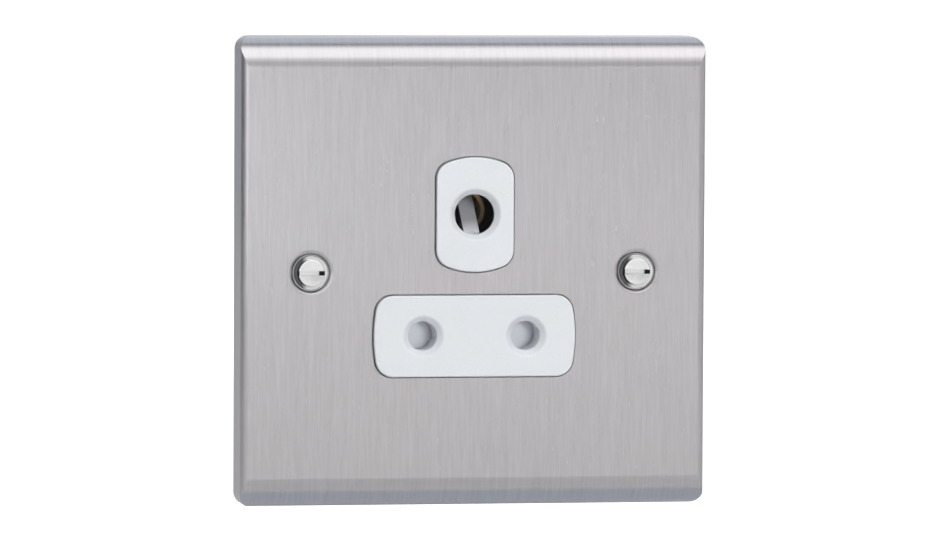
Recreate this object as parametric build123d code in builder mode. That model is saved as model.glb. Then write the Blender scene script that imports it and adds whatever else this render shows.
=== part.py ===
from build123d import *

import os
from math import atan2, degrees

# Round pin wall socket, one gang, 5 A: a pressed metal front plate, a moulded insert whose two pads
# show through it, a sprung shutter, three contacts with their terminals, and a rear housing.
#
# Seen from the front, X runs right, Y runs into the wall and Z runs up. The origin is the centre of
# the plate on the wall plane, on the line of the two fixing screws. Lengths are in millimetres.

# Front plate, pressed from sheet
PLATE = 86.0
PLATE_DEPTH = 10.0
SHEET = 0.9
LONG_ROLL = 5.4  # outer radius of the rolled top and bottom edges
SIDE_ROLL = 1.3  # outer radius of the left and right edges
PLATE_CORNER = 2.3

# Pins of the plug, and their pattern
LINE_PIN = 5.08
LINE_PIN_LENGTH = 14.9
LINE_PITCH = 19.05
EARTH_PIN = 7.06
EARTH_PIN_LENGTH = 20.6
EARTH_TO_LINE = 22.23
EARTH_Z = 10.57

# Pads of the insert, and the holes in them
EARTH_PAD_W = 14.3
EARTH_PAD_H = 21.0
LINE_PAD_W = 37.3
LINE_PAD_H = 14.9
EARTH_PAD_BULGE = 2.0  # rise of the pad's two curved sides
LINE_PAD_BULGE = 1.0
PAD_CORNER = 3.2
PAD_PROUD = 1.0
PAD_EDGE = 0.3
WINDOW_GAP = 0.25
GROOVE = 1.2  # depth of the groove round a pad, in the flange
HOLE_PLAY = 0.18  # radial room for a pin in its hole
SINK = 1.0  # radial width of the bevel round a hole
SINK_DEPTH = 1.1
SINK_EDGE = 0.6  # rounding of the bevel's outer edge
LINE_BORE_DEPTH = 7.6
EARTH_LAND = 0.8
COLLAR_WALL = 1.3
EARTH_RELIEF = 1.9  # radial room behind the land of the earth hole

# Flange of the insert
FLANGE = 2.2
FLANGE_RIM = 0.4  # beside the bosses of the fixing screws
FLANGE_EDGE = 4.0  # above the earth stud
FLANGE_CORNER = 6.0

# Fixing screws and the dimples that they sit in
FIXING_PITCH = 60.3
FIXING_D = 3.5
FIXING_LENGTH = 25.0
FIXING_HEAD = 6.3
FIXING_TOP = 4.9  # raised middle of the head
FIXING_DRAFT = 0.1
FIXING_EDGE = 0.15
FIXING_RIM = 0.4
FIXING_NECK = 3.0  # waist that the retainer holds
FIXING_RISE = 1.7
SLOT_W = 0.8
SLOT_DEPTH = 1.1
DIMPLE = 0.5
DIMPLE_PLAY = 0.2
DIMPLE_SLOPE = 0.4  # radial width of the sloping wall
DIMPLE_ROUND = 1.0  # rounding where the slope meets the face
SCREW_PLAY = 0.3
BOSS_WALL = 2.4
RETAINER_INSET = 0.75  # inside the boss
RETAINER = 0.6

# Welded studs that hold the insert in the plate
STUD = 3.0
STUD_CLEAR = 0.8  # between a stud's washer and the housing
STUD_INSET = 9.0  # from the flange's top and bottom edges
NUT_CLEAR = 0.25  # between the earth nut and the housing
STUD_PLAY = 0.2
CLIP_D = 6.4
CLIP = 0.5
STUD_TAIL = 1.2
EARTH_NUT = 5.5
EARTH_NUT_H = 2.0

# Rear housing
BOSS_CLEAR = 0.7  # between a boss and the housing
CONTACT_ROOM = 2.2  # between a contact's clamp and the pocket of its terminal
HOUSING_DEPTH = 15.5  # behind the wall plane
HOUSING_WALL = 1.8
HOUSING_CORNER = 3.0
HOUSING_EDGE = 0.8  # rounding of the rear edges
COLUMN = 7.2
COLUMN_INSET = 0.4
ACCESS_PLAY = 0.4

# Housing screws, driven from behind into posts of the insert
CASE_SCREW = 2.9
CASE_HEAD = 5.2
CASE_HEAD_H = 1.8
CASE_SEAT = 4.0  # of the head, behind the wall plane
CASE_FLOOR = 2.0
POST = 6.0
POST_GRIP = 5.0
THREAD_PLAY = 0.05

# Contacts, folded from strip
LINE_STRIP = 0.8
EARTH_STRIP = 0.7
SQUEEZE = 0.1  # radial grip of a contact on its pin
CONTACT_SPLIT = 1.6
CONTACT_CLEAR = 1.1  # between the shutter and the line contacts
TIP_ROOM = 0.8  # from the tip of a pin to the end of its contact
TAB_W = 6.0
CLAMP = 0.5  # wall of the steel spring clamp round a contact
CLAMP_W = 3.0
CLAMP_SPLIT = 2.6

# Terminals
BLOCK_W = 8.0
BLOCK_H = 8.0
CABLE_HOLE = 4.2
CABLE_ROOM = 0.6
CABLE_WEB = 1.5  # metal in front of the cable hole
BLOCK_PLAY = 0.2
RIVET = 2.5
RIVET_HEAD = 4.0
RIVET_HEAD_H = 0.6
TERMINAL_SCREW = 3.9
TERMINAL_HEAD = 5.6
TERMINAL_HEAD_H = 1.6
TERMINAL_LIFT = 0.4  # of the slackened head above the block
POCKET_WALL = 1.2
POCKET_DEPTH = 5.0
PROP_W = 4.0
PROP_H = 1.4

# Earth strap
STRAP = 0.8
STRAP_W = 6.0
STRAP_BEND = 1.2

# Shutter and its spring
SHUTTER = 1.6
SHUTTER_PLAY = 0.2
SHUTTER_EDGE = 1.5  # by which the shutter overlaps the sides of the line holes
SHUTTER_LAP = 0.25  # and their tops
SHUTTER_DROP = 0.75  # and their feet
SHUTTER_TRAVEL = 7.5
ARM_W = 8.0
RIB_W = 2.9
RIB_RISE = 6.0  # of the ramp over RIB_RUN
RIB_RUN = 8.3
RIB_REACH = 3.4  # of the ramp above and below the axis of the earth hole
RIB_NEAR = 3.4  # depth of the ramp's foot behind the plate's face
RIB_CLEAR = 0.5
NOTCH = 1.4  # round recess at the foot of the rib
NOTCH_DEPTH = 0.4
NOTCH_DROP = 0.5  # of its centre below the ramp
SPRING_D = 3.6
SPRING_WIRE = 0.4
SPRING_TURNS = 11
SPRING_ROOM = 0.3
SPRING_WALL = 0.9
SPRING_CAP = 1.5
PEG = 2.2
PEG_H = 2.0
RAIL = 1.5
RAIL_LIP = 1.0
STOP_GAP = 0.15

# Depths, counted from the wall plane, negative towards the viewer
FACE = -PLATE_DEPTH
SHEET_BACK = FACE + SHEET
PAD_FACE = FACE - PAD_PROUD
FLANGE_BACK = SHEET_BACK + FLANGE
COLLAR_END = PAD_FACE + LINE_BORE_DEPTH
SHUTTER_FRONT = COLLAR_END + SHUTTER_PLAY
SHUTTER_BACK = SHUTTER_FRONT + SHUTTER
LINE_CONTACT_FRONT = SHUTTER_BACK + CONTACT_CLEAR
TAB_BACK = PAD_FACE + LINE_PIN_LENGTH + TIP_ROOM
LINE_TAB_FRONT = TAB_BACK - LINE_STRIP
EARTH_TAB_FRONT = TAB_BACK - EARTH_STRIP
EARTH_CONTACT_BACK = PAD_FACE + EARTH_PIN_LENGTH + TIP_ROOM
HOUSING_INSIDE = HOUSING_DEPTH - HOUSING_WALL
DIMPLE_FLOOR = FACE + DIMPLE
BOSS_END = -2 * RETAINER  # a retainer and as much free neck lie before the wall plane
CABLE_Y = TAB_BACK + CABLE_WEB + CABLE_HOLE / 2
STUD_END = FLANGE_BACK + CLIP + STUD_TAIL
EARTH_STUD_END = FLANGE_BACK + STRAP + EARTH_NUT_H + STUD_TAIL
POST_END = CASE_SEAT - CASE_FLOOR
SPRING_Y = SHUTTER_BACK + 2 * SPRING_ROOM + SPRING_D / 2

# Places across and up the plate
LINE_Z = EARTH_Z - EARTH_TO_LINE
LINE_X = LINE_PITCH / 2
FIXING_X = FIXING_PITCH / 2
LINE_HOLE = LINE_PIN / 2 + HOLE_PLAY
EARTH_HOLE = EARTH_PIN / 2 + HOLE_PLAY
BOSS_R = FIXING_D / 2 + SCREW_PLAY + BOSS_WALL
LINE_CLAMP_R = LINE_PIN / 2 - SQUEEZE + LINE_STRIP + CLAMP
EARTH_CLAMP_R = EARTH_PIN / 2 - SQUEEZE + EARTH_STRIP + CLAMP
CONTACT_REACH = max(EARTH_Z + EARTH_CLAMP_R, LINE_CLAMP_R - LINE_Z)
POCKET_H = BLOCK_H + 2 * BLOCK_PLAY + POCKET_WALL
INSIDE_Z = CONTACT_REACH + CONTACT_ROOM + POCKET_H
HOUSING_H = 2 * (INSIDE_Z + HOUSING_WALL)
HOUSING_W = FIXING_PITCH - 2 * (BOSS_R + BOSS_CLEAR)
INSIDE_X = HOUSING_W / 2 - HOUSING_WALL
STUD_X = HOUSING_W / 2 + STUD_CLEAR + CLIP_D / 2
EARTH_STUD_Z = HOUSING_H / 2 + NUT_CLEAR + EARTH_NUT / 2
FLANGE_W = FIXING_PITCH + 2 * (BOSS_R + FLANGE_RIM)
FLANGE_H = 2 * (EARTH_STUD_Z + FLANGE_EDGE)
STUD_Z = FLANGE_H / 2 - STUD_INSET
CASE_X = INSIDE_X + COLUMN_INSET - COLUMN / 2
CASE_Z = INSIDE_Z + COLUMN_INSET - COLUMN / 2
BLOCK_TOP = INSIDE_Z - BLOCK_PLAY  # outer end of the earth block
BLOCK_MIDDLE = BLOCK_TOP - BLOCK_H / 2
SHUTTER_W = LINE_PITCH + 2 * LINE_HOLE + 2 * SHUTTER_EDGE
SHUTTER_TOP = LINE_Z + LINE_HOLE + SHUTTER_LAP
SHUTTER_FOOT = LINE_Z - LINE_HOLE - SHUTTER_DROP
RIB_TOP = EARTH_Z + RIB_REACH
RIB_FOOT = EARTH_Z - RIB_REACH
ARM_TOP = RIB_FOOT - SHUTTER
RIB_SLOPE = RIB_RUN / RIB_RISE
RIB_FOOT_Y = FACE + RIB_NEAR
RIB_TOP_Y = RIB_FOOT_Y + 2 * RIB_REACH * RIB_SLOPE
SPRING_BORE = SPRING_D / 2 + SPRING_ROOM
SLEEVE_R = SPRING_BORE + SPRING_WALL
SPRING_TOP = SHUTTER_TOP - SPRING_CAP
RAIL_X = SHUTTER_W / 2 + SHUTTER_PLAY
LOWEST = SHUTTER_FOOT - SHUTTER_TRAVEL - STOP_GAP


def facing(y):
    """Sketch plane at depth y. It faces the viewer, so an extrusion comes towards the viewer."""
    return Plane.XZ.offset(-y)


def pad_outline(width, height, bulge, gap):
    """Sketch of an upright pad with curved ends and round corners, grown on each side by gap."""
    x = width / 2 + gap
    z = height / 2 + gap
    with BuildSketch() as outline:
        with BuildLine():
            ThreePointArc((-x, z - bulge), (0, z), (x, z - bulge))
            Line((x, z - bulge), (x, bulge - z))
            ThreePointArc((x, bulge - z), (0, -z), (-x, bulge - z))
            Line((-x, bulge - z), (-x, z - bulge))
        make_face()
        fillet(outline.vertices(), PAD_CORNER + gap)
    return outline.sketch


def both_pads(gap=0.0):
    """Outlines of the upright earth pad and, turned on its side, the line pad."""
    with BuildSketch() as pads:
        with Locations((0, EARTH_Z)):
            add(pad_outline(EARTH_PAD_W, EARTH_PAD_H, EARTH_PAD_BULGE, gap))
        with Locations((0, LINE_Z)):
            add(pad_outline(LINE_PAD_H, LINE_PAD_W, LINE_PAD_BULGE, gap), rotation=90)
    return pads.sketch


def rolled_form(inset):
    """Block with the plate's outer form, moved in by inset: its skin, or the hollow behind it."""
    half = PLATE / 2 - inset
    front = FACE + inset
    depth = -front
    long_roll = LONG_ROLL - inset
    side_roll = SIDE_ROLL - inset
    corner = PLATE_CORNER - inset
    with BuildPart() as form:
        with BuildSketch(facing(0)):
            RectangleRounded(2 * half, 2 * half, corner)
        extrude(amount=depth)
        with BuildSketch(Plane.YZ.offset(-half)):
            with BuildLine():
                Line((0, -half), (0, half))
                Line((0, half), (front + long_roll, half))
                RadiusArc((front + long_roll, half), (front, half - long_roll), -long_roll)
                Line((front, half - long_roll), (front, long_roll - half))
                RadiusArc((front, long_roll - half), (front + long_roll, -half), -long_roll)
                Line((front + long_roll, -half), (0, -half))
            make_face()
        extrude(amount=2 * half, mode=Mode.INTERSECT)
        with BuildSketch(Plane.XY.offset(-half)):
            with BuildLine():
                Line((-half, 0), (half, 0))
                Line((half, 0), (half, front + side_roll))
                RadiusArc((half, front + side_roll), (half - side_roll, front), side_roll)
                Line((half - side_roll, front), (side_roll - half, front))
                RadiusArc((side_roll - half, front), (-half, front + side_roll), side_roll)
                Line((-half, front + side_roll), (-half, 0))
            make_face()
        extrude(amount=2 * half, mode=Mode.INTERSECT)
    return form.part


def split_tube(inner, wall, front, back, split):
    """Tube along Y round the origin, slit along its top."""
    with BuildPart() as tube:
        with BuildSketch(facing(back)):
            Circle(inner + wall)
            Circle(inner, mode=Mode.SUBTRACT)
            with Locations((0, inner + wall)):
                Rectangle(split, 2 * wall + inner, mode=Mode.SUBTRACT)
        extrude(amount=back - front)
    return tube.part


def save(part, label):
    """Writes one finished piece."""
    part.label = label
    export_step(part, f"parts/{label}.step")


os.makedirs("parts", exist_ok=True)

FIXINGS = [(-FIXING_X, 0), (FIXING_X, 0)]
STUDS = [(x, z) for x in (-STUD_X, STUD_X) for z in (-STUD_Z, STUD_Z)]
CASE_SCREWS = [(x, z) for x in (-CASE_X, CASE_X) for z in (-CASE_Z, CASE_Z)]
LINES = [(-LINE_X, LINE_Z), (LINE_X, LINE_Z)]
LINE_BLOCKS = [(-LINE_X, -BLOCK_MIDDLE), (LINE_X, -BLOCK_MIDDLE)]
DIMPLE_R = FIXING_HEAD / 2 + DIMPLE_PLAY

# Front plate: the rolled skin with two windows, two dimples, and studs welded to its back
skin = rolled_form(0)
hollow = rolled_form(SHEET)
with BuildPart() as faceplate:
    add(skin)
    add(hollow, mode=Mode.SUBTRACT)
    with BuildSketch(facing(SHEET_BACK + DIMPLE)):
        with Locations(*FIXINGS):
            Circle(DIMPLE_R + SHEET)
    extrude(amount=DIMPLE)
    with BuildSketch(facing(FACE)):
        with Locations(*FIXINGS):
            Circle(DIMPLE_R + DIMPLE_SLOPE)
    extrude(
        amount=-DIMPLE, taper=degrees(atan2(DIMPLE_SLOPE, DIMPLE)), mode=Mode.SUBTRACT
    )
    rims = faceplate.edges().filter_by(GeomType.CIRCLE).filter_by_position(Axis.Y, FACE, FACE)
    fillet([rim for rim in rims if rim.is_closed], DIMPLE_ROUND)
    with BuildSketch(facing(SHEET_BACK + DIMPLE)):
        with Locations(*FIXINGS):
            Circle(FIXING_D / 2 + SCREW_PLAY)
    extrude(amount=SHEET + DIMPLE, mode=Mode.SUBTRACT)
    with BuildSketch(facing(SHEET_BACK)):
        add(both_pads(WINDOW_GAP))
    extrude(amount=SHEET, mode=Mode.SUBTRACT)
    with BuildSketch(facing(STUD_END)):
        with Locations(*STUDS):
            Circle(STUD / 2)
    extrude(amount=STUD_END - SHEET_BACK)
    with BuildSketch(facing(EARTH_STUD_END)):
        with Locations((0, EARTH_STUD_Z)):
            Circle(STUD / 2)
    extrude(amount=EARTH_STUD_END - SHEET_BACK)
save(faceplate.part, "faceplate")

# Insert: one moulding with the pads, their holes, the flange, bosses, posts, props and shutter rails
with BuildPart() as insert_moulding:
    with BuildSketch(facing(SHEET_BACK)):
        add(both_pads())
    extrude(amount=SHEET_BACK - PAD_FACE)
    rims = insert_moulding.faces().filter_by(Axis.Y).sort_by(Axis.Y)[:2].edges()
    fillet(rims, PAD_EDGE)
    with BuildSketch(facing(FLANGE_BACK)):
        RectangleRounded(FLANGE_W, FLANGE_H, FLANGE_CORNER)
    extrude(amount=FLANGE)
    with BuildSketch(facing(COLLAR_END)):
        with Locations(*LINES):
            Circle(LINE_HOLE + COLLAR_WALL)
    extrude(amount=COLLAR_END - FLANGE_BACK)
    with BuildSketch(facing(BOSS_END)):
        with Locations(*FIXINGS):
            Circle(BOSS_R)
    extrude(amount=BOSS_END - FLANGE_BACK)
    with BuildSketch(facing(POST_END)):
        with Locations(*CASE_SCREWS):
            Circle(POST / 2)
    extrude(amount=POST_END - FLANGE_BACK)
    # Props that press the line tabs and the earth block against the housing
    with BuildSketch(facing(LINE_TAB_FRONT)):
        for x, z in LINE_BLOCKS:
            with Locations((x, z - BLOCK_H / 2 + PROP_H / 2)):
                Rectangle(PROP_W, PROP_H)
    extrude(amount=LINE_TAB_FRONT - FLANGE_BACK)
    with BuildSketch(facing(TAB_BACK)):
        prop_x = (STRAP_W + SCREW_PLAY + PROP_W) / 2
        with Locations((-prop_x, BLOCK_MIDDLE), (prop_x, BLOCK_MIDDLE)):
            Rectangle(PROP_W - SCREW_PLAY, PROP_W)
    extrude(amount=TAB_BACK - FLANGE_BACK)
    # Rails beside the shutter, their lips behind it, a stop above each end and one below
    rail_end = SHUTTER_BACK + SHUTTER_PLAY + RAIL
    rail_length = SHUTTER_TOP - LOWEST
    rail_middle = (SHUTTER_TOP + LOWEST) / 2
    with BuildSketch(facing(rail_end)):
        for side in (-1, 1):
            with Locations((side * (RAIL_X + RAIL / 2), rail_middle)):
                Rectangle(RAIL, rail_length)
    extrude(amount=rail_end - FLANGE_BACK)
    with BuildSketch(facing(rail_end)):
        for side in (-1, 1):
            with Locations((side * (RAIL_X - (RAIL_LIP - RAIL) / 2), rail_middle)):
                Rectangle(RAIL + RAIL_LIP, rail_length)
    extrude(amount=RAIL)
    with BuildSketch(facing(SHUTTER_BACK)):
        stop_w = (SHUTTER_W - ARM_W) / 2 - SHUTTER_PLAY
        stop_x = ARM_W / 2 + SHUTTER_PLAY + (stop_w + SHUTTER_PLAY + RAIL) / 2
        for side in (-1, 1):
            with Locations((side * stop_x, SHUTTER_TOP + STOP_GAP + RAIL / 2)):
                Rectangle(stop_w + SHUTTER_PLAY + RAIL, RAIL)
        with Locations((0, LOWEST - RAIL / 2)):
            Rectangle(2 * (RAIL_X + RAIL), RAIL)
    extrude(amount=SHUTTER_BACK - FLANGE_BACK)
    # Line holes with their bevels
    for hole, spots, end in (
        (LINE_HOLE, LINES, COLLAR_END),
        (EARTH_HOLE, [(0, EARTH_Z)], FLANGE_BACK),
    ):
        with BuildSketch(facing(end)):
            with Locations(*spots):
                Circle(hole)
        extrude(amount=end - PAD_FACE, mode=Mode.SUBTRACT)
        with BuildSketch(facing(PAD_FACE)):
            with Locations(*spots):
                Circle(hole + SINK)
        extrude(
            amount=-SINK_DEPTH, taper=degrees(atan2(SINK, SINK_DEPTH)), mode=Mode.SUBTRACT
        )
    with BuildSketch(facing(FLANGE_BACK)):
        with Locations((0, EARTH_Z)):
            Circle(EARTH_HOLE + EARTH_RELIEF)
    extrude(amount=FLANGE_BACK - PAD_FACE - SINK_DEPTH - EARTH_LAND, mode=Mode.SUBTRACT)
    mouths = insert_moulding.edges().filter_by(GeomType.CIRCLE).filter_by_position(
        Axis.Y, PAD_FACE, PAD_FACE
    )
    fillet([edge for edge in mouths if edge.is_closed], SINK_EDGE)
    with BuildSketch(facing(SHEET_BACK + GROOVE)):
        add(both_pads(WINDOW_GAP))
        add(both_pads(), mode=Mode.SUBTRACT)
    extrude(amount=GROOVE, mode=Mode.SUBTRACT)
    # Room for the dimples, and holes for the fixing screws, the studs and the housing screws
    with BuildSketch(facing(SHEET_BACK + DIMPLE)):
        with Locations(*FIXINGS):
            Circle(DIMPLE_R + SHEET + STUD_PLAY)
    extrude(amount=DIMPLE, mode=Mode.SUBTRACT)
    with BuildSketch(facing(BOSS_END)):
        with Locations(*FIXINGS):
            Circle(FIXING_D / 2 + SCREW_PLAY)
    extrude(amount=BOSS_END - SHEET_BACK, mode=Mode.SUBTRACT)
    with BuildSketch(facing(FLANGE_BACK)):
        with Locations(*STUDS, (0, EARTH_STUD_Z)):
            Circle(STUD / 2 + STUD_PLAY)
    extrude(amount=FLANGE, mode=Mode.SUBTRACT)
    with BuildSketch(facing(POST_END)):
        with Locations(*CASE_SCREWS):
            Circle(CASE_SCREW / 2 + THREAD_PLAY)
    extrude(amount=POST_GRIP, mode=Mode.SUBTRACT)
save(insert_moulding.part, "insert_moulding")

# Shutter: a bar across the line holes, an arm, a ramped rib in the earth hole and a spring sleeve
with BuildPart() as shutter:
    with BuildSketch(facing(SHUTTER_BACK)):
        with Locations((0, (SHUTTER_TOP + SHUTTER_FOOT) / 2)):
            Rectangle(SHUTTER_W, SHUTTER_TOP - SHUTTER_FOOT)
        with Locations((0, (ARM_TOP + SHUTTER_TOP) / 2)):
            Rectangle(ARM_W, ARM_TOP - SHUTTER_TOP)
    extrude(amount=SHUTTER)
    with BuildSketch(Plane.YZ.offset(-RIB_W / 2)):
        with BuildLine():
            Polyline(
                (SHUTTER_BACK, RIB_FOOT - ARM_W / 2),
                (SHUTTER_FRONT, RIB_FOOT - ARM_W / 2),
                (RIB_FOOT_Y, RIB_FOOT - SHUTTER),
                (RIB_FOOT_Y, RIB_FOOT),
                (RIB_TOP_Y, RIB_TOP),
                (RIB_TOP_Y + RIB_CLEAR, RIB_TOP),
                (RIB_TOP_Y + RIB_CLEAR, RIB_FOOT + RIB_REACH),
                (SHUTTER_BACK, RIB_FOOT - ARM_W / 2),
            )
        make_face()
    extrude(amount=RIB_W)
    with BuildSketch(facing(RIB_FOOT_Y + NOTCH_DEPTH)):
        with Locations((0, RIB_FOOT - NOTCH_DROP)):
            Circle(NOTCH / 2)
    extrude(amount=RIB_NEAR, mode=Mode.SUBTRACT)
    with BuildSketch(Plane.XY.offset(SHUTTER_FOOT)):
        with Locations((0, SPRING_Y)):
            Circle(SLEEVE_R)
        with Locations((0, (SHUTTER_BACK + SPRING_Y) / 2)):
            Rectangle(2 * SLEEVE_R, SPRING_Y - SHUTTER_BACK)
    extrude(amount=SHUTTER_TOP - SHUTTER_FOOT)
    with BuildSketch(Plane.XY.offset(SHUTTER_FOOT)):
        with Locations((0, SPRING_Y)):
            Circle(SPRING_BORE)
    extrude(amount=SPRING_TOP - SHUTTER_FOOT, mode=Mode.SUBTRACT)
save(shutter.part, "shutter")

# Shutter spring, wound round its peg on the housing's floor
SPRING_R = (SPRING_D - SPRING_WIRE) / 2
SPRING_RISE = SPRING_TOP + INSIDE_Z - SPRING_WIRE
with BuildPart() as shutter_spring:
    with BuildLine() as coil:
        Helix(
            pitch=SPRING_RISE / SPRING_TURNS,
            height=SPRING_RISE,
            radius=SPRING_R,
            center=(0, SPRING_Y, SPRING_WIRE / 2 - INSIDE_Z),
        )
    with BuildSketch(Plane(origin=coil.line @ 0, z_dir=coil.line % 0)):
        Circle(SPRING_WIRE / 2)
    sweep(is_frenet=True)
save(shutter_spring.part, "shutter_spring")

# Rear housing: a box with screw columns, terminal pockets, a spring peg, and holes for cables and drivers
with BuildPart() as rear_housing:
    with BuildSketch(facing(HOUSING_DEPTH)):
        RectangleRounded(HOUSING_W, HOUSING_H, HOUSING_CORNER)
    extrude(amount=HOUSING_DEPTH - FLANGE_BACK)
    fillet(rear_housing.faces().sort_by(Axis.Y)[-1].edges(), HOUSING_EDGE)
    with BuildSketch(facing(HOUSING_INSIDE)):
        RectangleRounded(2 * INSIDE_X, 2 * INSIDE_Z, HOUSING_CORNER - HOUSING_WALL)
    extrude(amount=HOUSING_INSIDE - FLANGE_BACK, mode=Mode.SUBTRACT)
    with BuildSketch(facing(HOUSING_INSIDE)):
        with Locations(*CASE_SCREWS):
            Circle(COLUMN / 2)
    extrude(amount=HOUSING_INSIDE - POST_END)
    with BuildSketch(facing(HOUSING_DEPTH)):
        with Locations(*CASE_SCREWS):
            Circle(CASE_HEAD / 2 + SCREW_PLAY)
    extrude(amount=HOUSING_DEPTH - CASE_SEAT, mode=Mode.SUBTRACT)
    with BuildSketch(facing(CASE_SEAT)):
        with Locations(*CASE_SCREWS):
            Circle(CASE_SCREW / 2 + SCREW_PLAY)
    extrude(amount=CASE_FLOOR, mode=Mode.SUBTRACT)
    # Pockets that hold the three terminal blocks on three sides
    room_w = BLOCK_W + 2 * BLOCK_PLAY
    with BuildSketch(facing(HOUSING_INSIDE)):
        for x, side in ((-LINE_X, -1), (LINE_X, -1), (0, 1)):
            with Locations((x, side * (INSIDE_Z - POCKET_H / 2))):
                Rectangle(room_w + 2 * POCKET_WALL, POCKET_H)
            with Locations((x, side * (INSIDE_Z - (POCKET_H - POCKET_WALL) / 2))):
                Rectangle(room_w, POCKET_H - POCKET_WALL, mode=Mode.SUBTRACT)
    extrude(amount=POCKET_DEPTH)
    with BuildSketch(Plane.XY.offset(-INSIDE_Z)):
        with Locations((0, SPRING_Y)):
            Circle(PEG / 2)
    extrude(amount=PEG_H)
    # Driver holes in the back, cable holes in the ends, and a notch for the earth strap
    with BuildSketch(facing(HOUSING_DEPTH)):
        with Locations(*LINE_BLOCKS, (0, BLOCK_MIDDLE)):
            Circle(TERMINAL_HEAD / 2 + ACCESS_PLAY)
    extrude(amount=HOUSING_WALL, mode=Mode.SUBTRACT)
    with BuildSketch(Plane.XY.offset(-HOUSING_H / 2)):
        with Locations((-LINE_X, CABLE_Y), (LINE_X, CABLE_Y)):
            Circle(CABLE_HOLE / 2 + CABLE_ROOM)
    extrude(amount=HOUSING_WALL, mode=Mode.SUBTRACT)
    with BuildSketch(Plane.XY.offset(INSIDE_Z)):
        with Locations((0, CABLE_Y)):
            Circle(CABLE_HOLE / 2 + CABLE_ROOM)
        with Locations((0, FLANGE_BACK + (STRAP + SCREW_PLAY) / 2)):
            Rectangle(STRAP_W + 2 * SCREW_PLAY, STRAP + SCREW_PLAY)
    extrude(amount=HOUSING_WALL, mode=Mode.SUBTRACT)
save(rear_housing.part, "rear_housing")


def contact(x, pole):
    """Split tube that grips a pin, with a tab that runs to the terminal above or below it."""
    side = pole["side"]
    inner = pole["pin"] / 2 - SQUEEZE
    start = inner + pole["strip"] / 2
    end = BLOCK_TOP - side * pole["z"]
    tube = split_tube(inner, pole["strip"], pole["front"], pole["back"], CONTACT_SPLIT)
    with BuildPart() as strip_contact:
        add(tube.rotate(Axis.Y, 0 if side < 0 else 180))
        with BuildSketch(facing(TAB_BACK)):
            with Locations((0, side * (start + end) / 2)):
                Rectangle(TAB_W, end - start)
            with Locations((0, side * (end - BLOCK_H / 2))):
                Circle(RIVET / 2 + THREAD_PLAY, mode=Mode.SUBTRACT)
        extrude(amount=pole["strip"])
    return strip_contact.part.moved(Location((x, 0, pole["z"])))


def clamp(x, pole):
    """Spring steel ring, slit opposite the tab, that squeezes a contact on its pin."""
    side = pole["side"]
    inner = pole["pin"] / 2 - SQUEEZE + pole["strip"]
    middle = (pole["front"] + pole["back"] + side * pole["strip"]) / 2
    ring = split_tube(inner, CLAMP, middle - CLAMP_W / 2, middle + CLAMP_W / 2, CLAMP_SPLIT)
    return ring.rotate(Axis.Y, 0 if side < 0 else 180).moved(Location((x, 0, pole["z"])))


def terminal(x, side, sheets):
    """Brass block riveted behind a tab, drilled for the cable and tapped for its screw."""
    with BuildPart() as block:
        with BuildSketch(facing(HOUSING_INSIDE)):
            with Locations((x, side * BLOCK_MIDDLE)):
                Rectangle(BLOCK_W, BLOCK_H)
        extrude(amount=HOUSING_INSIDE - TAB_BACK)
        with BuildSketch(facing(TAB_BACK)):
            with Locations((x, side * BLOCK_MIDDLE)):
                Circle(RIVET / 2)
        extrude(amount=sheets)
        with BuildSketch(facing(TAB_BACK - sheets)):
            with Locations((x, side * BLOCK_MIDDLE)):
                Circle(RIVET_HEAD / 2)
        extrude(amount=RIVET_HEAD_H)
        with BuildSketch(Plane.XY.offset(side * BLOCK_MIDDLE - BLOCK_H / 2)):
            with Locations((x, CABLE_Y)):
                Circle(CABLE_HOLE / 2)
        extrude(amount=BLOCK_H, mode=Mode.SUBTRACT)
        with BuildSketch(facing(HOUSING_INSIDE)):
            with Locations((x, side * BLOCK_MIDDLE)):
                Circle(TERMINAL_SCREW / 2 + THREAD_PLAY)
        extrude(amount=HOUSING_INSIDE - CABLE_Y, mode=Mode.SUBTRACT)
    return block.part


def slotted_screw(x, z, seat, head_d, head_h, shank_d, shank):
    """Cheese head screw driven from behind, its head's underside at depth seat."""
    with BuildPart() as screw:
        with BuildSketch(facing(seat + head_h)):
            with Locations((x, z)):
                Circle(head_d / 2)
        extrude(amount=head_h)
        with BuildSketch(facing(seat)):
            with Locations((x, z)):
                Circle(shank_d / 2)
        extrude(amount=shank)
        with BuildSketch(facing(seat + head_h)):
            with Locations((x, z)):
                Rectangle(head_d, SLOT_W)
        extrude(amount=head_h / 2, mode=Mode.SUBTRACT)
    return screw.part


LINE_POLE = {
    "z": LINE_Z,
    "side": -1,
    "pin": LINE_PIN,
    "strip": LINE_STRIP,
    "front": LINE_CONTACT_FRONT,
    "back": TAB_BACK,
    "sheets": LINE_STRIP,
}
EARTH_POLE = {
    "z": EARTH_Z,
    "side": 1,
    "pin": EARTH_PIN,
    "strip": EARTH_STRIP,
    "front": EARTH_TAB_FRONT,
    "back": EARTH_CONTACT_BACK,
    "sheets": EARTH_STRIP + STRAP,
}

# Each pole has a contact, its steel clamp, a terminal block and a screw
for name, x, pole in (
    ("neutral", -LINE_X, LINE_POLE),
    ("live", LINE_X, LINE_POLE),
    ("earth", 0, EARTH_POLE),
):
    save(contact(x, pole), f"{name}_contact")
    save(clamp(x, pole), f"{name}_contact_clamp")
    save(terminal(x, pole["side"], pole["sheets"]), f"{name}_terminal")
    screw = slotted_screw(
        x,
        pole["side"] * BLOCK_MIDDLE,
        HOUSING_INSIDE + TERMINAL_LIFT,
        TERMINAL_HEAD,
        TERMINAL_HEAD_H,
        TERMINAL_SCREW,
        HOUSING_INSIDE + TERMINAL_LIFT - CABLE_Y - CABLE_HOLE / 2,
    )
    save(screw, f"{name}_terminal_screw")

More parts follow.
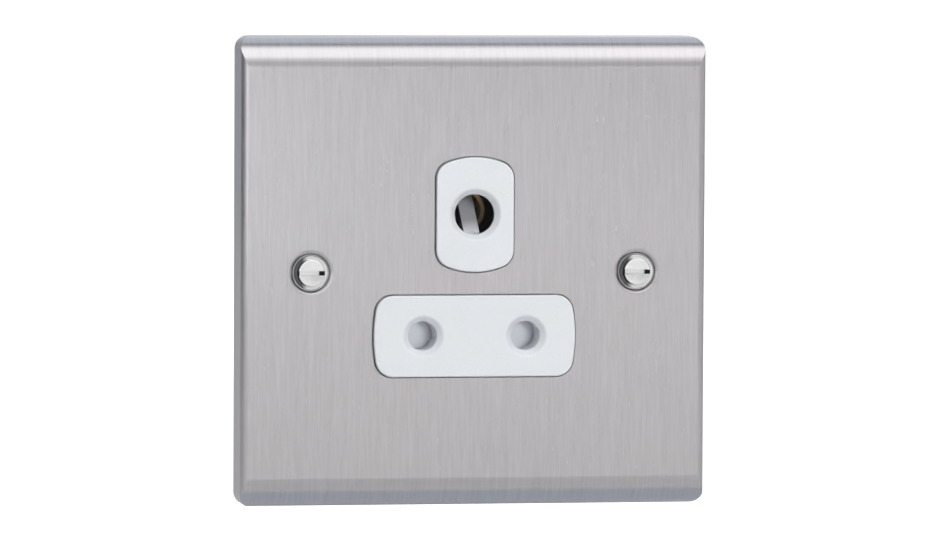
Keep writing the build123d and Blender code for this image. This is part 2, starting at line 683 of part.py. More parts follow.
# Earth strap: folded from the earth terminal's rivet, forward and up to the earth stud of the plate
strap_y = EARTH_TAB_FRONT - STRAP / 2
strap_foot = BLOCK_MIDDLE - BLOCK_H / 2
strap_turn = INSIDE_Z - BLOCK_PLAY - STRAP / 2
strap_flat = FLANGE_BACK + STRAP / 2
strap_top = EARTH_STUD_Z + STRAP_W / 2
with BuildPart() as earth_strap:
    with BuildSketch(Plane.YZ.offset(-STRAP_W / 2)):
        with BuildLine():
            FilletPolyline(
                (strap_y, strap_foot),
                (strap_y, strap_turn),
                (strap_flat, strap_turn),
                (strap_flat, strap_top),
                radius=STRAP_BEND,
            )
        trace(line_width=STRAP)
    extrude(amount=STRAP_W)
    with BuildSketch(facing(EARTH_TAB_FRONT)):
        with Locations((0, BLOCK_MIDDLE)):
            Circle(RIVET / 2 + THREAD_PLAY)
    extrude(amount=STRAP, mode=Mode.SUBTRACT)
    with BuildSketch(facing(FLANGE_BACK + STRAP)):
        with Locations((0, EARTH_STUD_Z)):
            Circle(STUD / 2 + THREAD_PLAY)
    extrude(amount=STRAP, mode=Mode.SUBTRACT)
save(earth_strap.part, "earth_strap")

with BuildPart() as earth_nut:
    with BuildSketch(facing(FLANGE_BACK + STRAP + EARTH_NUT_H)):
        with Locations((0, EARTH_STUD_Z)):
            RegularPolygon(EARTH_NUT / 2, 6, major_radius=False)
            Circle(STUD / 2 + THREAD_PLAY, mode=Mode.SUBTRACT)
    extrude(amount=EARTH_NUT_H)
save(earth_nut.part, "earth_nut")

# Fixing screws, waisted under the raised head, and the washers that keep them in the plate
NECK_END = BOSS_END + 2 * RETAINER
THREAD_END = DIMPLE_FLOOR + FIXING_LENGTH
HEAD_RISE = FIXING_RISE - FIXING_RIM
for name, (x, z) in zip(("left", "right"), FIXINGS):
    with BuildPart() as fixing_screw:
        with BuildSketch(facing(DIMPLE_FLOOR)):
            with Locations((x, z)):
                Circle(FIXING_HEAD / 2)
        extrude(amount=FIXING_RIM)
        with BuildSketch(facing(DIMPLE_FLOOR - FIXING_RIM)):
            with Locations((x, z)):
                Circle(FIXING_TOP / 2 + FIXING_DRAFT)
        extrude(amount=HEAD_RISE, taper=degrees(atan2(FIXING_DRAFT, HEAD_RISE)))
        fillet(fixing_screw.faces().sort_by(Axis.Y)[0].edges(), FIXING_EDGE)
        with BuildSketch(facing(DIMPLE_FLOOR - FIXING_RISE + SLOT_DEPTH)):
            with Locations((x, z)):
                Rectangle(FIXING_HEAD, SLOT_W)
        extrude(amount=SLOT_DEPTH, mode=Mode.SUBTRACT)
        with BuildSketch(facing(NECK_END)):
            with Locations((x, z)):
                Circle(FIXING_NECK / 2)
        extrude(amount=NECK_END - DIMPLE_FLOOR)
        with BuildSketch(facing(THREAD_END)):
            with Locations((x, z)):
                Circle(FIXING_D / 2)
        extrude(amount=THREAD_END - NECK_END)
        tip = fixing_screw.faces().sort_by(Axis.Y)[-1].edges()
        chamfer(tip, (FIXING_D - FIXING_NECK) / 2)
    save(fixing_screw.part, f"fixing_screw_{name}")
    with BuildPart() as screw_retainer:
        with BuildSketch(facing(BOSS_END + RETAINER)):
            with Locations((x, z)):
                Circle(BOSS_R - RETAINER_INSET)
                Circle(FIXING_NECK / 2 + THREAD_PLAY, mode=Mode.SUBTRACT)
        extrude(amount=RETAINER)
    save(screw_retainer.part, f"screw_retainer_{name}")

# Washers pushed onto the four studs of the plate, and the four screws of the housing
CORNERS = ("lower_left", "upper_left", "lower_right", "upper_right")
for name, (x, z) in zip(CORNERS, STUDS):
    with BuildPart() as stud_clip:
        with BuildSketch(facing(FLANGE_BACK + CLIP)):
            with Locations((x, z)):
                Circle(CLIP_D / 2)
                Circle(STUD / 2, mode=Mode.SUBTRACT)
        extrude(amount=CLIP)
    save(stud_clip.part, f"stud_clip_{name}")

for name, (x, z) in zip(CORNERS, CASE_SCREWS):
    case_screw = slotted_screw(
        x, z, CASE_SEAT, CASE_HEAD, CASE_HEAD_H, CASE_SCREW, CASE_FLOOR + POST_GRIP - SCREW_PLAY
    )
    save(case_screw, f"housing_screw_{name}")
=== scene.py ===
"""Looks of the round pin wall socket.

Materials, threaded screws, the coiled spring, the studio and the camera. The frame is in metres:
X right, Y into the wall, Z up, with the origin on the wall plane at the middle of the plate.
"""

import math

import bmesh
import bpy
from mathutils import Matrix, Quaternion, Vector


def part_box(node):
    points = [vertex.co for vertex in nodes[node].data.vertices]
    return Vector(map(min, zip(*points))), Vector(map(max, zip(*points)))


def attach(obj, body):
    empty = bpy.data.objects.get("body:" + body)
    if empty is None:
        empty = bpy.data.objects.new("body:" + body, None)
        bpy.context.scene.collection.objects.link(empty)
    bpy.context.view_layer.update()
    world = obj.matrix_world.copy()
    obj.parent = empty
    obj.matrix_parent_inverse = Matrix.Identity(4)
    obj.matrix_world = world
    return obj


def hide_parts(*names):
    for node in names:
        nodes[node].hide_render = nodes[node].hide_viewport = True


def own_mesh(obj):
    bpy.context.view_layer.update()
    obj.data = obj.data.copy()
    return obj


MM = 0.001

# Angles in degrees between faces, over which an edge stays sharp
SHARP = 35
SHARP_SCREW = 25

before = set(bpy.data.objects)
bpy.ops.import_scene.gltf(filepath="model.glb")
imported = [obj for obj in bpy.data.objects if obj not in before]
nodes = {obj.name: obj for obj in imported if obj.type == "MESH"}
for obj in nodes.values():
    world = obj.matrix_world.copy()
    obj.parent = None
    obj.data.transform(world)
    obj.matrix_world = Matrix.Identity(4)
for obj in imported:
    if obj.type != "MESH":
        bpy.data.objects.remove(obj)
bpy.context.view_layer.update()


# Node trees


def put(tree, kind, inputs=None, **settings):
    """Adds a node, sets its options, and fills or links its inputs."""
    made = tree.nodes.new(kind)
    for name, value in settings.items():
        setattr(made, name, value)
    for name, value in (inputs or {}).items():
        if isinstance(value, bpy.types.NodeSocket):
            tree.links.new(value, made.inputs[name])
        else:
            made.inputs[name].default_value = value
    return made


def start(name, constants):
    """New material with a Principled shader. Returns it, its tree and the shader."""
    made = bpy.data.materials.new(name)
    made.use_nodes = True
    tree = made.node_tree
    shader = tree.nodes["Principled BSDF"]
    for socket, value in constants.items():
        shader.inputs[socket].default_value = value
    return made, tree, shader


def noise(tree, stretch, detail=3.0, roughness=0.5):
    """Noise in the piece's own coordinates, with that many features a metre along each axis."""
    place = put(tree, "ShaderNodeTexCoord").outputs["Object"]
    spot = put(tree, "ShaderNodeMapping", {"Vector": place, "Scale": stretch}).outputs["Vector"]
    return put(
        tree,
        "ShaderNodeTexNoise",
        {"Vector": spot, "Scale": 1.0, "Detail": detail, "Roughness": roughness},
    ).outputs["Fac"]


def ramp(tree, factor, stops):
    """Colour ramp with (position, colour) stops."""
    made = put(tree, "ShaderNodeValToRGB", {"Fac": factor})
    band = made.color_ramp.elements
    while len(band) < len(stops):
        band.new(0.5)
    for element, (position, colour) in zip(band, stops):
        element.position = position
        element.color = (*colour, 1.0)
    return made.outputs["Color"]


def spread(tree, factor, low, high):
    """Maps 0.3..0.7 of a noise to low..high."""
    return put(
        tree,
        "ShaderNodeMapRange",
        {"Value": factor, "From Min": 0.3, "From Max": 0.7, "To Min": low, "To Max": high},
    ).outputs["Result"]


def math_node(tree, operation, first, second=0.0):
    made = put(tree, "ShaderNodeMath", operation=operation)
    for socket, value in zip(made.inputs, (first, second)):
        if isinstance(value, bpy.types.NodeSocket):
            tree.links.new(value, socket)
        else:
            socket.default_value = value
    return made.outputs["Value"]


def blend(tree, factor, first, second, kind="MIX"):
    """Mixes two colours."""
    made = put(tree, "ShaderNodeMix", data_type="RGBA", blend_type=kind)
    for index, value in ((0, factor), (6, first), (7, second)):
        if isinstance(value, bpy.types.NodeSocket):
            tree.links.new(value, made.inputs[index])
        elif index:
            made.inputs[index].default_value = (*value, 1.0)
        else:
            made.inputs[index].default_value = value
    return made.outputs[2]


def bump(tree, shader, height, depth, strength=1.0):
    """Small relief of that depth in metres."""
    made = put(
        tree, "ShaderNodeBump", {"Height": height, "Distance": depth, "Strength": strength}
    )
    tree.links.new(made.outputs["Normal"], shader.inputs["Normal"])


# Brushing of the sheet. Lines and streaks have so many features a metre across and along
LINES_ACROSS = 3600
LINES_ALONG = 160
STREAKS_ACROSS = 1300
STREAKS_ALONG = 30
CLOUDS = 22
SIDE_WALL = 0.72  # sideways part of the normal, over which a face is a side wall


def brushed_steel():
    """Satin stainless sheet, brushed upright before it was pressed."""
    made, tree, shader = start("brushed_steel", {"Metallic": 1.0, "Anisotropic": 0.8})
    normal = put(tree, "ShaderNodeNewGeometry").outputs["Normal"]
    sides = put(tree, "ShaderNodeSeparateXYZ", {"Vector": normal}).outputs
    sideways = math_node(tree, "ABSOLUTE", sides["X"])
    is_wall = math_node(tree, "GREATER_THAN", sideways, SIDE_WALL)
    front = noise(tree, (LINES_ACROSS, LINES_ALONG, LINES_ALONG), 4.0, 0.6)
    wall = noise(tree, (LINES_ALONG, LINES_ACROSS, LINES_ALONG), 4.0, 0.6)
    lines = put(tree, "ShaderNodeMix", {"Factor": is_wall, "A": front, "B": wall}).outputs[0]
    long_front = noise(tree, (STREAKS_ACROSS, STREAKS_ALONG, STREAKS_ALONG), 3.0, 0.5)
    long_wall = noise(tree, (STREAKS_ALONG, STREAKS_ACROSS, STREAKS_ALONG), 3.0, 0.5)
    bands = put(
        tree, "ShaderNodeMix", {"Factor": is_wall, "A": long_front, "B": long_wall}
    ).outputs[0]
    grain = ramp(tree, lines, [(0.3, (0.545, 0.529, 0.541)), (0.7, (0.625, 0.609, 0.621))])
    streak = ramp(tree, bands, [(0.3, (0.965, 0.965, 0.965)), (0.7, (1.0, 1.0, 1.0))])
    cool_cloud = (0.975, 0.985, 0.985)
    warm_cloud = (1.0, 0.985, 0.995)
    patches = noise(tree, (CLOUDS, CLOUDS, CLOUDS), 2.0)
    cloud = ramp(tree, patches, [(0.35, cool_cloud), (0.65, warm_cloud)])
    colour = blend(tree, 1.0, blend(tree, 1.0, grain, streak, "MULTIPLY"), cloud, "MULTIPLY")
    tree.links.new(colour, shader.inputs["Base Color"])
    tree.links.new(spread(tree, lines, 0.27, 0.36), shader.inputs["Roughness"])
    across = put(
        tree, "ShaderNodeVectorMath", {0: (0.0, 0.0, 1.0), 1: normal}, operation="CROSS_PRODUCT"
    ).outputs["Vector"]
    across = put(
        tree, "ShaderNodeVectorMath", {0: across, 1: (0.001, 0.0, 0.0)}, operation="ADD"
    ).outputs["Vector"]
    tree.links.new(across, shader.inputs["Tangent"])
    bump(tree, shader, lines, 0.003 * MM)
    return made


def moulded(name, colour, gloss, texture, depth):
    """Moulded plastic: gloss is its roughness, texture the grain's features a metre."""
    made, tree, shader = start(name, {"IOR": 1.5, "Specular IOR Level": 0.5})
    tone = noise(tree, (90, 90, 90), 3.0)
    darker = tuple(c * 0.975 for c in colour)
    tree.links.new(ramp(tree, tone, [(0.3, darker), (0.7, colour)]), shader.inputs["Base Color"])
    skin = noise(tree, (texture, texture, texture), 2.0)
    tree.links.new(spread(tree, skin, gloss, gloss + 0.06), shader.inputs["Roughness"])
    bump(tree, shader, skin, depth)
    return made


def metal(name, light, dark, gloss, stretch, depth):
    """Plated or bare metal with drawn or tumbled marks."""
    made, tree, shader = start(name, {"Metallic": 1.0})
    marks = noise(tree, stretch, 4.0, 0.6)
    patches = noise(tree, (260, 260, 260), 3.0)
    colour = blend(
        tree, patches, ramp(tree, marks, [(0.3, dark), (0.7, light)]), light
    )
    tree.links.new(colour, shader.inputs["Base Color"])
    tree.links.new(spread(tree, patches, gloss, gloss + 0.1), shader.inputs["Roughness"])
    bump(tree, shader, marks, depth)
    return made


# Fixing screw in millimetres, with heights from the top of its head
SLOT_WIDTH = 0.8
SLOT_DEPTH = 1.1
MIDDLE_TOP = 2.45  # radius of the raised middle at its top
MIDDLE_FOOT = 2.55
MIDDLE_RISE = 1.3
HEAD_RISE = 1.7
HEAD_EDGE = 0.05  # step of a rounded edge
SHANK = 1.5

# Painted shade on that head, in millimetres too: dark slot ends, outer edge and the left of the
# groove
SHADED_SLOT_WIDTH = 0.84
SHADED_SLOT_TOP = 0.12
SHADED_SLOT_FOOT = 1.2
SHADED_SLOT_RIGHT = 1.45
SHADED_SLOT_LEFT = 2.15
SHADED_GROOVE = 2.42
SHADED_EDGE = 3.06
SHADE_FROM = 0.7  # the painted shade in the groove darkens from here to the left
SHADE_TO = 1.7
SHADE_SHARE = 0.88


def painted_shade_parts(tree, place, radius):
    """1 where shade is painted on the head of a fixing screw, 0 elsewhere.

    That is painted shade at the ends of its slot, on the outer edge, and on the left of the groove
    inside that edge.
    """
    sides = put(tree, "ShaderNodeSeparateXYZ", {"Vector": place}).outputs
    off_middle = math_node(tree, "ABSOLUTE", sides["Z"])
    inside = math_node(tree, "LESS_THAN", off_middle, SHADED_SLOT_WIDTH / 2 * MM)
    below = math_node(tree, "GREATER_THAN", sides["Y"], SHADED_SLOT_TOP * MM)
    above = math_node(tree, "LESS_THAN", sides["Y"], SHADED_SLOT_FOOT * MM)
    right = math_node(tree, "GREATER_THAN", sides["X"], SHADED_SLOT_RIGHT * MM)
    left = math_node(tree, "LESS_THAN", sides["X"], -SHADED_SLOT_LEFT * MM)
    ends = math_node(tree, "MAXIMUM", left, right)
    slot = math_node(tree, "MULTIPLY", inside, math_node(tree, "MULTIPLY", below, above))
    groove = math_node(tree, "GREATER_THAN", radius, SHADED_GROOVE * MM)
    leftward = put(
        tree,
        "ShaderNodeMapRange",
        {
            "Value": sides["X"],
            "From Min": -SHADE_FROM * MM,
            "From Max": -SHADE_TO * MM,
            "To Min": 0.0,
            "To Max": SHADE_SHARE,
        },
    ).outputs["Result"]
    groove = math_node(tree, "MULTIPLY", groove, leftward)
    edge = math_node(tree, "GREATER_THAN", radius, SHADED_EDGE * MM)
    head = math_node(tree, "MAXIMUM", groove, edge)
    return math_node(tree, "MAXIMUM", math_node(tree, "MULTIPLY", slot, ends), head)


RINGS = 9000  # turning marks a metre of radius
# Painted shade: near-black colour laid on the shaded parts of a fixing screw's head
PAINTED_SHADE = (0.02, 0.02, 0.024)


def turned(name, light, dark, gloss, depth, painted_shade_head=False):
    """Plated metal turned about the piece's own Y axis, with fine rings on its end faces."""
    made, tree, shader = start(name, {"Metallic": 1.0})
    place = put(tree, "ShaderNodeTexCoord").outputs["Object"]
    flat = put(tree, "ShaderNodeMapping", {"Vector": place, "Scale": (1.0, 0.0, 1.0)})
    radius = put(
        tree, "ShaderNodeVectorMath", {0: flat.outputs["Vector"]}, operation="LENGTH"
    ).outputs["Value"]
    rings = put(
        tree,
        "ShaderNodeTexNoise",
        {"W": math_node(tree, "MULTIPLY", radius, RINGS), "Scale": 1.0, "Detail": 3.0},
        noise_dimensions="1D",
    ).outputs["Fac"]
    wear = noise(tree, (700, 700, 700), 3.0)
    colour = blend(tree, wear, ramp(tree, rings, [(0.3, dark), (0.7, light)]), light)
    # Painted shade on the head: slot ends, outer edge and the left of the groove
    if painted_shade_head:
        colour = blend(tree, painted_shade_parts(tree, place, radius), colour, PAINTED_SHADE)
    tree.links.new(colour, shader.inputs["Base Color"])
    tree.links.new(spread(tree, wear, gloss, gloss + 0.08), shader.inputs["Roughness"])
    bump(tree, shader, rings, depth)
    return made


STEEL = brushed_steel()
WHITE = moulded("white_moulding", (0.805, 0.832, 0.862), 0.26, 5200, 0.0012 * MM)
SHUTTER_WHITE = moulded("shutter_moulding", (0.835, 0.85, 0.895), 0.38, 4200, 0.002 * MM)
HOUSING_WHITE = moulded("housing_moulding", (0.78, 0.78, 0.76), 0.5, 3000, 0.006 * MM)
NYLON = moulded("nylon", (0.74, 0.73, 0.68), 0.42, 2600, 0.003 * MM)
# Plating of the fixing screws, with painted shade on the slot ends, edge and groove of the head
CHROME = turned(
    "bright_screw", (0.82, 0.82, 0.82), (0.74, 0.74, 0.75), 0.2, 0.0012 * MM, painted_shade_head=True
)
ZINC = turned("plated_screw", (0.64, 0.65, 0.68), (0.50, 0.51, 0.55), 0.26, 0.002 * MM)
BRASS = metal("brass", (0.70, 0.56, 0.32), (0.56, 0.43, 0.23), 0.28, (400, 400, 2600), 0.002 * MM)
SPRING = metal(
    "spring_steel", (0.52, 0.52, 0.54), (0.40, 0.40, 0.43), 0.22, (900, 900, 900), 0.001 * MM
)

BY_SLOT = {
    "faceplate": STEEL,
    "insert_moulding": WHITE,
    "shutter": SHUTTER_WHITE,
    "rear_housing": HOUSING_WHITE,
    "earth_strap": BRASS,
    "earth_nut": ZINC,
}
for name, shown in nodes.items():
    if name in BY_SLOT:
        finish = BY_SLOT[name]
    elif name.startswith("fixing_screw"):
        finish = CHROME
    elif "clamp" in name or "clip" in name or "spring" in name:
        finish = SPRING
    elif "retainer" in name:
        finish = NYLON
    elif "screw" in name:
        finish = ZINC
    else:
        finish = BRASS
    shown.data.materials.clear()
    shown.data.materials.append(finish)


# Screws and the spring


def keep(name, build, finish):
    """New object from a bmesh, smooth but for its sharp edges."""
    bmesh.ops.recalc_face_normals(build, faces=build.faces)
    mesh = bpy.data.meshes.new(name)
    build.to_mesh(mesh)
    build.free()
    mesh.polygons.foreach_set("use_smooth", [True] * len(mesh.polygons))
    mesh.set_sharp_from_angle(angle=math.radians(SHARP))
    mesh.materials.append(finish)
    made = bpy.data.objects.new(name, mesh)
    bpy.context.scene.collection.objects.link(made)
    return made


def turned_rings(build, rows, sides):
    """Closed surface about Y through rings of (y, radius of an angle)."""
    rings = []
    for y, radius in rows:
        ring = []
        for i in range(sides):
            angle = 2 * math.pi * i / sides
            r = radius(angle)
            ring.append(build.verts.new((r * math.cos(angle), y, r * math.sin(angle))))
        rings.append(ring)
    for first, second in zip(rings, rings[1:]):
        for i in range(sides):
            j = (i + 1) % sides
            build.faces.new((first[i], first[j], second[j], second[i]))
    build.faces.new(rings[0])
    build.faces.new(rings[-1])


def constant(radius):
    return lambda angle: radius


RINGS_A_TURN = 8  # of a thread


def thread_rows(start, end, major, depth, pitch):
    """Rings of a single-start thread of that outer radius, run out at both ends."""
    count = round(abs(end - start) / pitch * RINGS_A_TURN)
    step = (end - start) / count
    rows = []
    for k in range(count + 1):
        y = start + k * step
        from_end = min(k, count - k) / RINGS_A_TURN
        cut = depth * min(1.0, from_end)

        def radius(angle, y=y, cut=cut):
            phase = (y / pitch - angle / (2 * math.pi)) % 1.0
            wave = min(1.0, max(0.0, abs(2 * phase - 1) * 1.5 - 0.25))
            return major - cut * (1 - wave)

        rows.append((y, radius))
    return rows


SLOT_REACH = 20  # length of the cutter of a slot
SCREW_BEVEL = 0.06


def screw(name, head, thread, tip, slot, finish, sides=48):
    """Screw along +Y from the top of its head, in millimetres.

    The head and the tip are (distance, radius) rings. The thread is its start, end, outer radius,
    depth and pitch, and the slot its width and depth.
    """
    build = bmesh.new()
    rows = [(y * MM, constant(r * MM)) for y, r in head]
    rows += thread_rows(*(v * MM for v in thread))
    rows += [(y * MM, constant(r * MM)) for y, r in tip]
    turned_rings(build, rows, sides)
    body = keep(name, build, finish)
    width, deep = (v * MM for v in slot)
    cutter_mesh = bmesh.new()
    bmesh.ops.create_cube(cutter_mesh, size=1.0)
    for corner in cutter_mesh.verts:
        corner.co.x *= SLOT_REACH * MM
        corner.co.z *= width
        corner.co.y *= 2 * deep
    cutter = keep(name + "_slot", cutter_mesh, finish)
    cut = body.modifiers.new("slot", "BOOLEAN")
    cut.operation = "DIFFERENCE"
    cut.solver = "EXACT"
    cut.object = cutter
    soft = body.modifiers.new("edge", "BEVEL")
    soft.width = SCREW_BEVEL * MM
    soft.segments = 2
    soft.limit_method = "ANGLE"
    soft.angle_limit = math.radians(50)
    bpy.context.view_layer.update()
    cut_body = body.evaluated_get(bpy.context.evaluated_depsgraph_get())
    done = bpy.data.meshes.new_from_object(cut_body)
    body.modifiers.clear()
    body.data = done
    done.polygons.foreach_set("use_smooth", [True] * len(done.polygons))
    done.set_sharp_from_angle(angle=math.radians(SHARP_SCREW))
    bpy.data.objects.remove(cutter)
    return body


def place(pattern, node, slot, from_behind):
    """Copy of a screw, standing for its CAD node, with its head towards or away from the viewer."""
    low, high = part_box(node)
    made = bpy.data.objects.new(f"threaded_{node}", pattern.data)
    bpy.context.scene.collection.objects.link(made)
    made.location = ((low.x + high.x) / 2, high.y if from_behind else low.y, (low.z + high.z) / 2)
    made.rotation_euler.z = math.pi if from_behind else 0
    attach(made, "socket")
    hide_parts(node)


def size_of(node):
    """Length of a screw and radius of its head, in millimetres."""
    low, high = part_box(node)
    return (high.y - low.y) / MM, (high.x - low.x) / 2 / MM


def plain_head(radius, rise, shank):
    """Rings of a slotted head with its edges rounded, down to the shank."""
    return [
        (0.0, radius - 3 * HEAD_EDGE),
        (2 * HEAD_EDGE, radius),
        (rise - 2 * HEAD_EDGE, radius),
        (rise, radius - HEAD_EDGE),
        (rise, shank),
    ]


# The fixing screw is waisted up to the wall plane. Its thread starts there
waist = -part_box("fixing_screw_left")[0].y / MM
length, radius = size_of("fixing_screw_left")
fixing = screw(
    "fixing_pattern",
    [
        (0.0, MIDDLE_TOP - 3 * HEAD_EDGE),
        (HEAD_EDGE, MIDDLE_TOP - HEAD_EDGE),
        (3 * HEAD_EDGE, MIDDLE_TOP),
        (MIDDLE_RISE, MIDDLE_FOOT),
        (MIDDLE_RISE, radius - HEAD_EDGE),
        (MIDDLE_RISE + HEAD_EDGE, radius),
        (HEAD_RISE, radius),
        (HEAD_RISE, SHANK),
        (waist - 0.35, SHANK),
    ],
    (waist, length - 0.6, 1.75, 0.27, 0.6),
    [(length - 0.25, 1.7), (length, 1.45)],
    (SLOT_WIDTH, SLOT_DEPTH),
    CHROME,
    64,
)
for side in ("left", "right"):
    place(fixing, f"fixing_screw_{side}", "bright_screw", False)

length, radius = size_of("housing_screw_upper_left")
case_screw = screw(
    "case_pattern",
    plain_head(radius, 1.8, 1.4),
    (2.2, length - 0.5, 1.45, 0.3, 1.06),
    [(length, 1.0)],
    (0.8, 0.9),
    ZINC,
)
for corner in ("upper_left", "upper_right", "lower_left", "lower_right"):
    place(case_screw, f"housing_screw_{corner}", "plated_screw", True)

length, radius = size_of("earth_terminal_screw")
terminal_screw = screw(
    "terminal_pattern",
    plain_head(radius, 1.6, 1.7),
    (1.9, length - 0.4, 1.95, 0.33, 0.7),
    [(length, 1.6)],
    (0.8, 0.8),
    ZINC,
)
for pole in ("earth", "live", "neutral"):
    place(terminal_screw, f"{pole}_terminal_screw", "plated_screw", True)

for pattern in (fixing, case_screw, terminal_screw):
    bpy.data.objects.remove(pattern)


WIRE = 0.4 * MM
TURNS = 11
CLOSED_TURNS = 1.0  # at each end
STEPS = 48  # a turn
WIRE_SIDES = 14
GROUND = 0.12  # share of the wire ground off at each end


def wound_spring():
    """Compression spring with a closed, flattened turn at each end, in the space of its node."""
    low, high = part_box("shutter_spring")
    radius = (high.x - low.x - WIRE) / 2
    centre = (low + high) / 2
    length = high.z - low.z
    active = TURNS - 2 * CLOSED_TURNS
    spare = length - WIRE - 2 * CLOSED_TURNS * WIRE
    rise = []
    for k in range(TURNS * STEPS + 1):
        turn = k / STEPS
        if turn < CLOSED_TURNS:
            z = turn * WIRE
        elif turn > TURNS - CLOSED_TURNS:
            z = length - WIRE - (TURNS - turn) * WIRE
        else:
            share = (turn - CLOSED_TURNS) / active
            z = CLOSED_TURNS * WIRE + share * spare
        rise.append(z)
    smooth = rise[:]
    reach = STEPS // 4
    for k in range(len(rise)):
        window = rise[max(0, k - reach) : k + reach + 1]
        if len(window) == 2 * reach + 1:
            smooth[k] = sum(window) / len(window)
    build = bmesh.new()
    rings = []
    for k, z in enumerate(smooth):
        angle = 2 * math.pi * k / STEPS
        out = Vector((math.cos(angle), math.sin(angle), 0))
        ring = []
        for i in range(WIRE_SIDES):
            turn = 2 * math.pi * i / WIRE_SIDES
            lift = WIRE / 2 * math.sin(turn)
            point = out * (radius + WIRE / 2 * math.cos(turn))
            height = min(max(z + WIRE / 2 + lift, GROUND * WIRE), length - GROUND * WIRE)
            ring.append(
                build.verts.new((centre.x + point.x, centre.y + point.y, low.z + height))
            )
        rings.append(ring)
    for first, second in zip(rings, rings[1:]):
        for i in range(WIRE_SIDES):
            j = (i + 1) % WIRE_SIDES
            build.faces.new((first[i], first[j], second[j], second[i]))
    build.faces.new(rings[0])
    build.faces.new(rings[-1])
    return keep("wound_spring", build, SPRING)


spring = wound_spring()
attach(spring, "socket")
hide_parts("shutter_spring")
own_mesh(spring)


# Studio


def flat_card(name, centre, across, up, finish):
    """Rectangle given by its centre and its two half-axes."""
    build = bmesh.new()
    centre, across, up = Vector(centre), Vector(across), Vector(up)
    below, above = centre - up, centre + up
    corners = [below - across, below + across, above + across, above - across]
    build.faces.new([build.verts.new(c) for c in corners])
    made = keep(name, build, finish)
    return made


def glowing(name, level, tint):
    """Even card of that level and tint, for the metal to reflect."""
    made = bpy.data.materials.new(name)
    made.use_nodes = True
    tree = made.node_tree
    tree.nodes.remove(tree.nodes["Principled BSDF"])
    glow = put(tree, "ShaderNodeEmission", {"Color": (*(level * t for t in tint), 1.0)})
    tree.links.new(glow.outputs[0], tree.nodes["Material Output"].inputs["Surface"])
    return made


FLOOR_TONE = 0.86
FLOOR_LIFT = 0.92  # added for the camera, so that the floor reads as white
FLOOR_GLEAM = 0.17  # share of the lift that the metal sees


def floor_material():
    """Pale matt floor, lifted to white for the camera and a little for the metal."""
    made, tree, shader = start("pale_floor", {"Roughness": 0.9})
    shader.inputs["Base Color"].default_value = (FLOOR_TONE, FLOOR_TONE, FLOOR_TONE, 1.0)
    rays = put(tree, "ShaderNodeLightPath").outputs
    seen = math_node(tree, "MAXIMUM", rays["Is Camera Ray"], rays["Is Transmission Ray"])
    gleam = math_node(tree, "MULTIPLY", rays["Is Glossy Ray"], FLOOR_GLEAM)
    seen = math_node(tree, "MAXIMUM", seen, gleam)
    lift = put(tree, "ShaderNodeEmission", {"Color": (1, 1, 1, 1), "Strength": FLOOR_LIFT})
    none = put(tree, "ShaderNodeEmission", {"Color": (0, 0, 0, 1), "Strength": 0.0})
    added = put(tree, "ShaderNodeMixShader", {0: seen, 1: none.outputs[0], 2: lift.outputs[0]})
    total = put(tree, "ShaderNodeAddShader", {0: shader.outputs[0], 1: added.outputs[0]})
    tree.links.new(total.outputs[0], tree.nodes["Material Output"].inputs["Surface"])
    return made


FLOOR_REACH = 14
FLOOR_Z = -0.075
flat_card(
    "floor", (0, 0, FLOOR_Z), (FLOOR_REACH, 0, 0), (0, FLOOR_REACH, 0), floor_material()
)

WORLD_LIGHT = 0.04
WORLD_SEEN = 1.0  # by the camera and the metal

world = bpy.data.worlds.new("studio")
bpy.context.scene.world = world
world.use_nodes = True
tree = world.node_tree
tree.nodes.clear()
rays = put(tree, "ShaderNodeLightPath").outputs
seen = math_node(tree, "MAXIMUM", rays["Is Camera Ray"], rays["Is Transmission Ray"])
seen = math_node(tree, "MAXIMUM", seen, rays["Is Glossy Ray"])
soft = put(tree, "ShaderNodeBackground", {"Color": (1, 1, 1, 1), "Strength": WORLD_LIGHT})
white = put(tree, "ShaderNodeBackground", {"Color": (1, 1, 1, 1), "Strength": WORLD_SEEN})
both = put(tree, "ShaderNodeMixShader", {0: seen, 1: soft.outputs[0], 2: white.outputs[0]})
world_out = put(tree, "ShaderNodeOutputWorld")
tree.links.new(both.outputs[0], world_out.inputs["Surface"])


def direction(azimuth, elevation):
    """Unit vector from the object; azimuth 0 is towards the viewer, 90 to the right."""
    a = math.radians(azimuth)
    e = math.radians(elevation)
    return Vector((math.sin(a) * math.cos(e), -math.cos(a) * math.cos(e), math.sin(e)))


def soft_box(name, azimuth, elevation, distance, width, height, level):
    """Area lamp turned to the object, with that level of light leaving each point of it."""
    lamp = bpy.data.lights.new(name, "AREA")
    lamp.shape = "RECTANGLE"
    lamp.size = width
    lamp.size_y = height
    lamp.energy = level * math.pi * width * height
    made = bpy.data.objects.new(name, lamp)
    away = direction(azimuth, elevation)
    made.location = away * distance
    made.rotation_mode = "QUATERNION"
    made.rotation_quaternion = away.to_track_quat("Z", "Y")
    bpy.context.scene.collection.objects.link(made)
    return made


def flag(name, azimuth, elevation, distance, width, height, level, tint):
    """Card of that level and tint that only reflections see."""
    away = direction(azimuth, elevation)
    turn = away.to_track_quat("Z", "Y")
    made = flat_card(
        name,
        away * distance,
        turn @ Vector((width / 2, 0, 0)),
        turn @ Vector((0, height / 2, 0)),
        glowing(name, level, tint),
    )
    made.visible_camera = False
    made.visible_diffuse = False
    made.visible_shadow = False
    return made


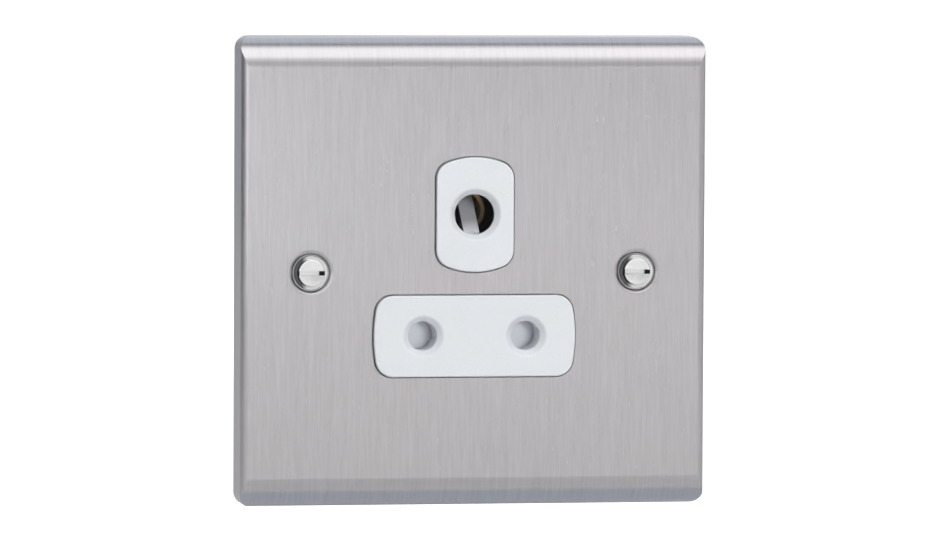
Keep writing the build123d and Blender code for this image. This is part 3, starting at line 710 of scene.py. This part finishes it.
# Lamps: azimuth, elevation, distance, width, height and level. Only the first shows in the metal
LAMPS = {
    "key_box": (0, 56, 1.2, 2.4, 0.92, 0.66),
    "fill_box": (10, 4, 1.6, 0.4, 0.4, 19.2),
    "top_box": (6, 48, 1.4, 0.7, 0.5, 5.4),
    "rear_box": (180, 30, 1.6, 1.0, 0.8, 2.2),
}
for name, values in LAMPS.items():
    lamp = soft_box(name, *values)
    lamp.visible_glossy = name == "key_box"

# Cards: azimuth, elevation, distance, width, height, level and tint
PLAIN = (1.0, 1.0, 1.03)
COOL = (0.93, 1.0, 1.1)
FLAGS = {
    "front_flag": (0, 13, 2.6, 3.6, 0.75, 0.58, PLAIN),
    "top_flag": (0, 93, 1.0, 3.0, 0.22, 0.35, COOL),
    "roof_flag": (180, 62, 1.4, 3.0, 1.4, 0.8, COOL),
    "left_flag": (-100, 4, 1.2, 1.5, 2.0, 0.1, COOL),
    "right_flag": (78, 4, 1.2, 1.2, 2.0, 0.7, PLAIN),
    "back_flag": (-163, 0, 1.6, 1.5, 1.4, 0.46, COOL),
    "under_flag": (0, -88, 0.07, 0.16, 0.05, 0.54, COOL),
    "side_card": (-32, 9, 0.19, 0.08, 0.08, 1.7, PLAIN),
}
for name, values in FLAGS.items():
    flag(name, *values)

bpy.context.scene.view_settings.view_transform = "Standard"

# Camera: seen from a little to the left of the plate's axis and a little above it
LENS = 300.0
SENSOR = 36.0
WIDE = 942  # pixels
SCALE = 5.47 / MM  # pixels a metre
AZIMUTH = -9.5
ELEVATION = 3.5
ROLL = 0.29  # shares the slant of level lines with the upright ones
ASIDE = -0.62 * MM  # of the picture's middle from the plate's
ABOVE = 0.4 * MM
NEAR = 0.01
FAR = 100
lens = bpy.data.cameras.new("camera")
lens.lens = LENS
lens.sensor_width = SENSOR
lens.clip_start = NEAR
lens.clip_end = FAR
camera = bpy.data.objects.new("camera", lens)
bpy.context.scene.collection.objects.link(camera)
bpy.context.scene.camera = camera
back = direction(AZIMUTH, ELEVATION)
turn = back.to_track_quat("Z", "Y")
distance = WIDE * LENS / SENSOR / SCALE
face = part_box("faceplate")[0].y
middle_of_view = Vector((0, face, 0)) + turn @ Vector((ASIDE, ABOVE, 0))
camera.location = middle_of_view + back * distance
camera.rotation_mode = "QUATERNION"
camera.rotation_quaternion = turn @ Quaternion((0, 0, 1), math.radians(ROLL))
